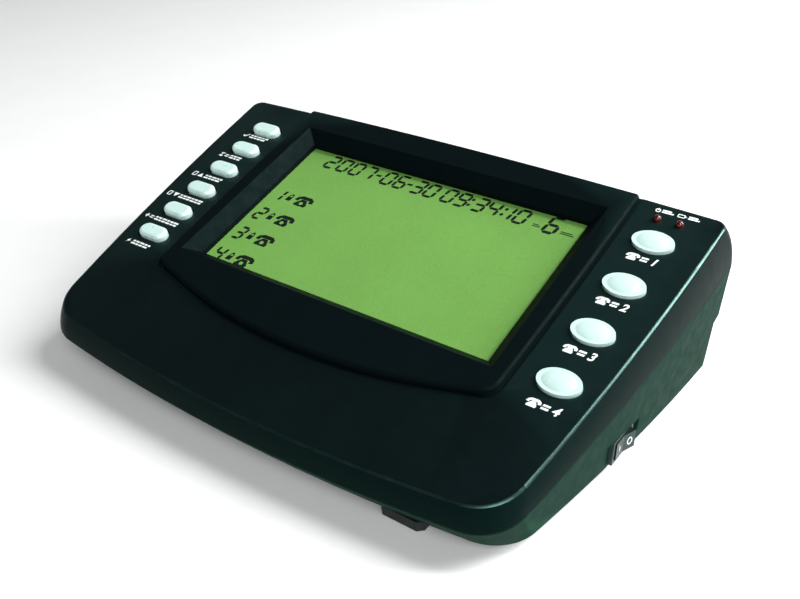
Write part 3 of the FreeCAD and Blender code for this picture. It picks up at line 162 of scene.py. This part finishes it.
def glass_surface(name):
    """The display as seen through its glass: a green field with a very fine dot grid."""
    material = surface(
        name,
        (0.152, 0.350, 0.071),
        0.30,
        grain=2500.0,
        bump=0.03,
        mottle=0.05,
        Coat_Weight=0.35,
        Coat_Roughness=0.12,
    )
    tree = material.node_tree
    bsdf = tree.nodes["Principled BSDF"]
    place = tree.nodes.new("ShaderNodeTexCoord")
    dots = add(tree, "ShaderNodeTexVoronoi", Scale=900.0)
    tree.links.new(place.outputs["Object"], dots.inputs["Vector"])
    fine = spread(tree, dots.outputs["Distance"], 0.0, 0.35)
    field = bsdf.inputs["Base Color"].links[0].from_socket
    tree.links.new(mixed(tree, fine, field, (0.185, 0.40, 0.09)), bsdf.inputs["Base Color"])
    return material


def two_toned(material, skirt):
    """Paint light on the skirt: a lighter, greener tone where the faces turn from the top to the
    sides, as its lit sides look; give it a duller finish than the face, and polish the edge between.
    """
    tree = material.node_tree
    bsdf = tree.nodes["Principled BSDF"]
    place = tree.nodes.new("ShaderNodeTexCoord")
    split = tree.nodes.new("ShaderNodeSeparateXYZ")
    tree.links.new(place.outputs["Normal"], split.inputs["Vector"])
    # Painted light: faces turning from the top towards the sides take the skirt's lighter, greener
    # tone, as lit sides look.
    side = add(tree, "ShaderNodeMapRange", From_Min=0.85, From_Max=0.45)
    tree.links.new(split.outputs["Z"], side.inputs["Value"])
    face = bsdf.inputs["Base Color"].links[0].from_socket
    tree.links.new(mixed(tree, side.outputs["Result"], face, skirt), bsdf.inputs["Base Color"])
    shine = tree.nodes.new("ShaderNodeValToRGB")
    stops = shine.color_ramp.elements
    levels = ((0.45, 0.02), (0.62, EDGE_SHINE), (0.86, EDGE_SHINE), (0.94, FACE_SHINE))
    for position, level in levels:
        stops.new(position).color = (level, level, level, 1)
    stops.remove(stops[0])
    stops.remove(stops[-1])
    tree.links.new(split.outputs["Z"], shine.inputs["Fac"])
    tree.links.new(shine.outputs["Color"], bsdf.inputs["Specular IOR Level"])
    return material


def casing_surface(name):
    """The upper casing: a dark face over a skirt with painted light, a lighter, greener tone as its
    lit sides look.
    """
    material = surface(name, DARK, 0.34, mottle=0.06, wear=DARK_WORN, Specular_Tint=MINT_TINT)
    return two_toned(material, SKIRT_PAINTED_LIGHT)


def side_surface(name):
    """The dull plastic of the lower casing and its door, its dark colour carrying painted light:
    greener and lighter, as its lit sides look.
    """
    return surface(
        name, SIDE_PAINTED_LIGHT, 0.52, mottle=0.04, wear=SIDE_WORN_PAINTED_LIGHT,
        Specular_IOR_Level=0.015, Specular_Tint=MINT_TINT,
    )


def make_materials():
    """All materials, by name; most names are the record's material slots."""
    return {
        "casing": casing_surface("casing"),
        "base": side_surface("base"),
        "bezel": surface(
            "bezel", DARK, 0.50, mottle=0.06, wear=DARK_WORN,
            Specular_IOR_Level=0.04, Specular_Tint=MINT_TINT,
        ),
        "glass": glass_surface("glass"),
        "backlight": surface(
            "backlight", (0.30, 0.55, 0.16), 0.5, grain=900.0, Subsurface_Weight=0.1,
        ),
        "frame": surface("frame", (0.03, 0.03, 0.032), 0.55),
        "strip": surface("strip", (0.09, 0.09, 0.10), 0.75, grain=5000.0, bump=0.3),
        "silver_key": surface(
            "silver_key", (0.66, 0.90, 0.84), 0.30, grain=6000.0, bump=0.08, mottle=0.03,
            Metallic=0.15, Coat_Weight=0.3, Coat_Roughness=0.15,
        ),
        "mat": surface("mat", (0.30, 0.31, 0.31), 0.7, grain=2500.0, bump=0.25),
        "lamp": surface(
            "lamp", (0.085, 0.003, 0.004), 0.12, grain=500.0, bump=0.02,
            Coat_Weight=0.6, Coat_Roughness=0.05, Subsurface_Weight=0.15,
        ),
        "board": board_surface("board"),
        "chip": surface("chip", (0.012, 0.012, 0.013), 0.55, grain=7000.0, bump=0.3),
        "sounder": surface("sounder", (0.60, 0.42, 0.16), 0.35, Metallic=1.0),
        "sleeve": surface("sleeve", (0.01, 0.02, 0.08), 0.3, Coat_Weight=0.3),
        "socket": surface("socket", (0.012, 0.013, 0.014), 0.42, wear=(0.05, 0.05, 0.05)),
        "contact": surface("contact", (0.72, 0.50, 0.20), 0.25, Metallic=1.0),
        "cable": surface("cable", (0.26, 0.26, 0.28), 0.5, grain=1800.0),
        "switch": surface(
            "switch", (0.004, 0.008, 0.009), 0.38, wear=(0.03, 0.04, 0.04),
            Specular_Tint=MINT_TINT,
        ),
        "battery": surface("battery", (0.03, 0.035, 0.05), 0.3, Metallic=0.6),
        "snap": surface("snap", (0.02, 0.02, 0.02), 0.5),
        "door": side_surface("door"),
        "foot": surface("foot", (0.006, 0.010, 0.010), 0.65, grain=2200.0, bump=0.35),
        "screw": surface(
            "screw", (0.42, 0.43, 0.44), 0.32, wear=(0.7, 0.7, 0.7), Metallic=1.0
        ),
        "print": surface("print", (0.86, 0.92, 0.90), 0.5, grain=5000.0, bump=0.1, mottle=0.06),
        "segment": surface("segment", (0.004, 0.010, 0.006), 0.4, mottle=0.2),
    }


def dress_nodes(made):
    """Give every CAD node its material, by the record's slots."""
    slots = {item["node"]: item["material_slot"] for item in frame["record"]["subparts"]}
    slots["base_casing"] = "base"
    for name, node in nodes.items():
        material = made[slots[name]]
        if not node.data.materials:
            node.data.materials.append(material)
        for index in range(len(node.material_slots)):
            node.material_slots[index].material = material


# ---------------------------------------------------------------- drawn shapes


def bar(x0, y0, x1, y1, width):
    """A straight stroke as a four-cornered loop."""
    along = Vector((x1 - x0, y1 - y0)).normalized()
    side = Vector((-along.y, along.x)) * width / 2
    start = Vector((x0, y0))
    end = Vector((x1, y1))
    return [start - side, end - side, end + side, start + side]


def strokes(points, width):
    """Strokes through a list of points."""
    return [bar(*a, *b, width) for a, b in zip(points, points[1:])]


def disc(x, y, radius, count):
    """A round dot with count corners."""
    turn = 2 * math.pi / count
    return [
        Vector((x + radius * math.cos(turn * k), y + radius * math.sin(turn * k)))
        for k in range(count)
    ]


def ring(x, y, radius, width, start=0.0, sweep=360.0, stretch=1.0):
    """A round stroke, in separate quads, from an angle on through a sweep in degrees."""
    count = max(8, int(sweep / 12))

    def corner(reach, step):
        angle = math.radians(start + sweep * step / count)
        return Vector((x + reach * math.cos(angle), y + reach * math.sin(angle) * stretch))

    inside = radius - width / 2
    outside = radius + width / 2
    return [
        [corner(inside, k), corner(outside, k), corner(outside, k + 1), corner(inside, k + 1)]
        for k in range(count)
    ]


def shifted(loops, x, y, scale=1.0, slant=0.0):
    """Loops moved to x, y, after scaling and slanting them about their own origin."""
    return [
        [Vector((x + scale * (p.x + slant * p.y), y + scale * p.y)) for p in loop]
        for loop in loops
    ]


def prisms(name, loops, matrix, base, material, body):
    """Raise each loop into a thin closed solid standing on base, and let it ride on a body."""
    mesh = bpy.data.meshes.new(name)
    shape = bmesh.new()
    for loop in loops:
        low = [shape.verts.new(Vector((p.x, p.y, base)) * MM) for p in loop]
        high = [shape.verts.new(Vector((p.x, p.y, base + PRINT_THICK)) * MM) for p in loop]
        shape.faces.new(list(reversed(low)))
        shape.faces.new(high)
        for k in range(len(loop)):
            after = (k + 1) % len(loop)
            shape.faces.new([low[k], low[after], high[after], high[k]])
    bmesh.ops.recalc_face_normals(shape, faces=shape.faces)
    shape.to_mesh(mesh)
    shape.free()
    mesh.transform(matrix)
    piece = bpy.data.objects.new(name, mesh)
    bpy.context.scene.collection.objects.link(piece)
    piece.data.materials.append(material)
    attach(piece, body)
    return piece


def numeral(name, text, x, y, size, material):
    """A printed numeral on the face."""
    curve = bpy.data.curves.new(name, "FONT")
    curve.body = text
    curve.size = size * MM
    curve.shear = 0.25
    curve.extrude = PRINT_THICK / 2 * MM
    curve.offset = 0.00012
    letter = bpy.data.objects.new(name + "_curve", curve)
    bpy.context.scene.collection.objects.link(letter)
    bpy.context.view_layer.update()
    finished = letter.evaluated_get(bpy.context.evaluated_depsgraph_get())
    mesh = bpy.data.meshes.new_from_object(finished)
    bpy.data.objects.remove(letter)
    mesh.transform(FACE @ Matrix.Translation(Vector((x, y, PRINT_THICK / 2)) * MM))
    piece = bpy.data.objects.new(name, mesh)
    bpy.context.scene.collection.objects.link(piece)
    piece.data.materials.clear()
    piece.data.materials.append(material)
    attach(piece, "casing")
    return piece


# ---------------------------------------------------------------- legends


def handset(width):
    """A small telephone: a body under a bowed handset."""
    body = [
        Vector((-0.30, 0.0)), Vector((0.30, 0.0)), Vector((0.34, 0.12)),
        Vector((0.14, 0.44)), Vector((-0.14, 0.44)), Vector((-0.34, 0.12)),
    ]
    grip = [
        Vector((-0.50, 0.34)), Vector((-0.30, 0.30)), Vector((-0.26, 0.46)),
        Vector((0.26, 0.46)), Vector((0.30, 0.30)), Vector((0.50, 0.34)),
        Vector((0.44, 0.54)), Vector((0.24, 0.66)), Vector((-0.24, 0.66)), Vector((-0.44, 0.54)),
    ]
    return [[point * width for point in loop] for loop in (body, grip)]


def page():
    """A sheet of paper in outline."""
    return strokes([(0, 0), (1.7, 0), (1.7, 2.2), (0, 2.2), (0, 0)], 0.42)


def equals_sign(x):
    """Two short bars, one over the other."""
    return [bar(x, 0.6, x + 1.8, 0.6, 0.5), bar(x, 1.6, x + 1.8, 1.6, 0.5)]


def lines_of_text(x, width):
    """Two rows of dashes, standing for writing."""
    dashes = (2.3, 1.2, 1.8)
    gap = 0.45
    thick = 0.8
    loops = []
    for row in range(2):
        y = 0.45 + 1.35 * row
        at = x
        count = row
        while at < x + width - thick:
            end = min(at + dashes[count % len(dashes)], x + width)
            loops.append(bar(at, y, end, y, thick))
            at = end + gap
            count += 1
    return loops


def function_icons():
    """Each function key's icon and dashes, where its left end is, and how far below the key."""
    tick = strokes([(0, 1.1), (0.9, 0.2), (2.6, 2.2)], 0.6) + lines_of_text(3.6, 9.8)
    total = strokes([(1.9, 0.1), (0, 0.1), (1.1, 1.1), (0, 2.1), (1.9, 2.1)], 0.5)
    total += equals_sign(2.8) + lines_of_text(5.6, 7.4)
    up = page() + [[Vector((2.8, 0.0)), Vector((5.8, 0.0)), Vector((4.3, 2.3))]]
    up += lines_of_text(6.6, 9.6)
    down = page() + [[Vector((2.8, 2.3)), Vector((4.3, 0.0)), Vector((5.8, 2.3))]]
    down += lines_of_text(6.6, 14.0)
    part_total = [bar(0, 1.1, 2.0, 1.1, 0.5)]
    part_total += [bar(1.0, 0.0, 1.0, 0.8, 0.5), bar(1.0, 1.4, 1.0, 2.2, 0.5)]
    part_total += equals_sign(2.8) + lines_of_text(5.6, 13.4)
    bolt = [[
        Vector((1.5, 2.3)), Vector((0.0, 1.0)), Vector((0.9, 1.0)),
        Vector((0.4, -0.1)), Vector((2.1, 1.3)), Vector((1.2, 1.3)),
    ]]
    bolt += lines_of_text(3.2, 9.6)
    return [
        (tick, -100.0, -6.5), (total, -101.0, -7.1), (up, -103.4, -7.6),
        (down, -104.8, -7.6), (part_total, -103.8, -8.0), (bolt, -99.8, -8.4),
    ]


def printed(name, loops, ink):
    """A legend printed on the face."""
    prisms(name, loops, FACE, 0.0, ink, "casing")


def function_legends(ink):
    """An icon and dashes below each function key."""
    for number, (icon, x, drop) in enumerate(function_icons(), start=1):
        y = FUNCTION_KEY_TOP - FUNCTION_KEY_PITCH * (number - 1) + drop
        printed(f"function_legend_{number}", shifted(icon, x, y, slant=LEGEND_SLANT), ink)


def line_legends(ink):
    """A telephone, two bars and a number below each line key."""
    bars = [bar(0, 1.0, 2.6, 1.0, 0.8), bar(0, 2.3, 2.6, 2.3, 0.8)]
    for number, drop in enumerate((-10.4, -10.6, -10.9, -11.9), start=1):
        y = LINE_KEY_TOP - LINE_KEY_PITCH * (number - 1) + drop
        loops = shifted(handset(5.2), 88.3, y, slant=LEGEND_SLANT)
        loops += shifted(bars, 91.4, y, slant=LEGEND_SLANT)
        printed(f"line_legend_{number}", loops, ink)
        numeral(f"line_number_{number}", str(number), 95.2, y, 4.8, ink)


def lamp_legends(ink):
    """A power symbol and a cell, each with two dashes, beside the lamps."""
    on = ring(0, 0.9, 0.8, 0.4, start=115, sweep=310) + [bar(0, 1.0, 0, 2.1, 0.4)]
    on += [bar(1.6, 0.5, 6.0, 0.5, 0.7), bar(1.6, 1.5, 5.0, 1.5, 0.7)]
    cell = strokes([(-1.2, 0.2), (1.2, 0.2), (1.2, 1.6), (-1.2, 1.6), (-1.2, 0.2)], 0.36)
    cell += [bar(1.4, 0.9, 1.8, 0.9, 0.7)]
    cell += [bar(2.6, 0.5, 6.8, 0.5, 0.7), bar(2.6, 1.5, 6.0, 1.5, 0.7)]
    printed("power_legend", shifted(on, 86.8, LAMP_LEGEND_Y), ink)
    printed("battery_legend", shifted(cell, 95.6, LAMP_LEGEND_Y), ink)


def legends(made):
    """Everything printed on the face."""
    function_legends(made["print"])
    line_legends(made["print"])
    lamp_legends(made["print"])


# ---------------------------------------------------------------- display


LIT = {
    "0": "abcdef", "1": "bc", "2": "abged", "3": "abgcd", "4": "fgbc",
    "5": "afgcd", "6": "afgedc", "7": "abc", "8": "abcdefg", "9": "abcdfg", "-": "g",
}


def segment(x0, y0, x1, y1, width):
    """One segment of a digit: a stroke with pointed ends."""
    start = Vector((x0, y0))
    end = Vector((x1, y1))
    along = (end - start).normalized()
    side = Vector((-along.y, along.x)) * width / 2
    gap = along * (width * 0.12)
    tip = along * (width / 2)
    return [
        start + gap, start + gap + tip - side, end - gap - tip - side,
        end - gap, end - gap - tip + side, start + gap + tip + side,
    ]


def digit(character, width, height, stroke):
    """The lit segments of one character, from its lower left corner."""
    middle = height / 2
    places = {
        "a": (0, height, width, height), "b": (width, middle, width, height),
        "c": (width, 0, width, middle), "d": (0, 0, width, 0),
        "e": (0, 0, 0, middle), "f": (0, middle, 0, height), "g": (0, middle, width, middle),
    }
    return [segment(*places[name], stroke) for name in LIT[character]]


def padlock():
    """A shut padlock, from the middle of its lower edge."""
    body = [Vector((-1.1, 0)), Vector((1.1, 0)), Vector((1.1, 2.1)), Vector((-1.1, 2.1))]
    return [body] + ring(0, 2.25, 0.72, 0.42, start=0, sweep=180, stretch=1.7)


def clock_line():
    """Date and time along the top, with its strokes and colons."""
    digits = [
        ("2", -55.4), ("0", -48.8), ("0", -42.2), ("7", -35.8), ("0", -25.6), ("6", -19.2),
        ("3", -10.4), ("0", -4.2), ("0", 4.2), ("9", 10.5), ("3", 18.6), ("4", 24.6),
        ("1", 30.6), ("0", 37.0),
    ]
    loops = []
    for character, x in digits:
        loops += shifted(digit(character, 4.3, 7.4, 1.25), x, CLOCK_Y, slant=DISPLAY_SLANT)
    for x in (-29.8, -14.0):
        loops += shifted([bar(0, 3.7, 2.4, 3.7, 1.1)], x, CLOCK_Y, slant=DISPLAY_SLANT)
    for x in (16.4, 31.4):
        dots = [disc(0, 2.0, 0.75, 12), disc(0, 5.4, 0.75, 12)]
        loops += shifted(dots, x, CLOCK_Y, slant=DISPLAY_SLANT)
    return loops


def large_digit():
    """A larger digit on the right, with two short dashes on each side of it."""
    loops = shifted(digit("6", 4.6, 8.8, 1.4), 50.2, 28.2, slant=DISPLAY_SLANT)
    for x, widths in ((45.6, (3.2, 2.6)), (57.2, (5.6, 4.8))):
        for row, width in enumerate(widths):
            y = 29.7 + 0.9 * row
            loops.append(bar(x, y, x + width, y, 0.42))
    return loops


def line_rows():
    """A number, a padlock and a telephone for each line."""
    loops = []
    for row in range(ROW_COUNT):
        y = FIRST_ROW_Y - ROW_PITCH * row
        number = digit(str(row + 1), 3.7, 6.6, 1.2)
        loops += shifted(number, -63.6, y, slant=DISPLAY_SLANT)
        loops += shifted(padlock(), -55.9, y + 1.5, scale=1.1, slant=DISPLAY_SLANT)
        loops += shifted(handset(9.2), -49.0, y + 0.3, slant=DISPLAY_SLANT)
    return loops


def display(made):
    """The display's dark characters, and a light dial on each telephone among them."""
    loops = clock_line() + large_digit() + line_rows()
    prisms("display_characters", loops, FACE, GLASS_TOP, made["segment"], "casing")
    dials = [disc(-48.7, FIRST_ROW_Y + 2.0 - ROW_PITCH * row, 0.9, 16) for row in range(ROW_COUNT)]
    prisms("display_dials", dials, FACE, GLASS_TOP + PRINT_THICK, made["glass"], "casing")


# ---------------------------------------------------------------- power switch marks


def switch_marks(made):
    """A bar at the rocker's front end and a ring at its rear end, on its two slopes."""
    pivot_depth = 0.8
    half_length = 5.6
    middle_height = 2.0
    outward = Matrix(((0, 0, 1), (1, 0, 0), (0, 1, 0))).to_4x4()
    place = Matrix.Translation(SWITCH_CENTRE) @ outward
    pivot = Matrix.Translation((0, 0, -pivot_depth * MM))
    tilt = pivot @ Matrix.Rotation(math.radians(-9), 4, "Y") @ pivot.inverted()
    slope = math.atan2(1.0, half_length)
    for name, loops, x, turn in (
        ("switch_mark_on", [bar(0, -1.1, 0, 1.1, 0.35)], -2.9, slope),
        ("switch_mark_off", ring(0, 0, 1.05, 0.32, stretch=1.25), 3.0, -slope),
    ):
        height = middle_height + abs(x) / half_length
        seat = Matrix.Translation(Vector((x, 0, height)) * MM) @ Matrix.Rotation(turn, 4, "Y")
        prisms(name, loops, place @ tilt @ seat, 0.0, made["print"], "rocker")


# ---------------------------------------------------------------- surroundings


def floor():
    """A plain pale floor just under the feet."""
    bpy.ops.mesh.primitive_plane_add(size=8, location=(0, 0, -0.0002))
    plane = bpy.context.object
    plane.name = "studio_floor"
    pale = surface("studio_floor", (0.90, 0.91, 0.90), 0.8, grain=400.0, bump=0.05, mottle=0.01)
    plane.data.materials.append(pale)


def softbox(name, place, aim, width, depth, power):
    """A rectangular area light turned towards a point."""
    light = bpy.data.lights.new(name, "AREA")
    light.shape = "RECTANGLE"
    light.size = width
    light.size_y = depth
    light.energy = power
    lamp = bpy.data.objects.new(name, light)
    lamp.location = place
    lamp.rotation_euler = (Vector(aim) - Vector(place)).to_track_quat("-Z", "Y").to_euler()
    bpy.context.scene.collection.objects.link(lamp)


def sky():
    """A plain studio: bright round the horizon, dim overhead and towards the front left."""
    world = bpy.data.worlds.new("studio")
    world.use_nodes = True
    tree = world.node_tree
    place = tree.nodes.new("ShaderNodeTexCoord")
    split = tree.nodes.new("ShaderNodeSeparateXYZ")
    tree.links.new(place.outputs["Generated"], split.inputs["Vector"])
    ramp = tree.nodes.new("ShaderNodeValToRGB")
    ramp.color_ramp.elements[0].position = 0.08
    ramp.color_ramp.elements[0].color = (0.95, 1.0, 0.98, 1)
    ramp.color_ramp.elements[1].position = 0.5
    ramp.color_ramp.elements[1].color = (0.10, 0.11, 0.11, 1)
    tree.links.new(split.outputs["Z"], ramp.inputs["Fac"])
    ahead = tree.nodes.new("ShaderNodeVectorMath")
    ahead.operation = "DOT_PRODUCT"
    ahead.inputs[1].default_value = (-0.44, -0.90, 0.0)
    tree.links.new(place.outputs["Generated"], ahead.inputs[0])
    dim = add(tree, "ShaderNodeMapRange", From_Min=-0.2, From_Max=0.5)
    tree.links.new(ahead.outputs["Value"], dim.inputs["Value"])
    tone = mixed(tree, dim.outputs["Result"], ramp.outputs["Color"], (0.05, 0.055, 0.055))
    background = tree.nodes["Background"]
    tree.links.new(tone, background.inputs["Color"])
    background.inputs["Strength"].default_value = 1.0
    bpy.context.scene.world = world


def lights():
    """A narrow key light from the rear right and a wide fill from the front right."""
    softbox("key", (0.75, 0.55, 0.86), (0, 0, 0.04), 0.35, 1.2, 28)
    softbox("fill", (0.9, -1.0, 1.1), (0, 0, 0.03), 0.9, 0.9, 19)


def camera():
    """The photograph's viewing angle."""
    data = bpy.data.cameras.new("camera")
    data.lens = 43.06
    data.sensor_width = 36
    data.clip_start = 0.01
    eye = bpy.data.objects.new("camera", data)
    right = Vector((0.8144, 0.5803, 0.0))
    up = Vector((-0.2962, 0.4157, 0.8599))
    back = right.cross(up)
    turn = Matrix((right, up, back)).transposed().to_4x4()
    eye.matrix_world = Matrix.Translation((0.1933, -0.2470, 0.2136)) @ turn
    bpy.context.scene.collection.objects.link(eye)
    bpy.context.scene.camera = eye


# ---------------------------------------------------------------- build

materials = make_materials()
dress_nodes(materials)
legends(materials)
display(materials)
switch_marks(materials)
floor()
sky()
lights()
camera()
bpy.context.scene.view_settings.view_transform = "Standard"
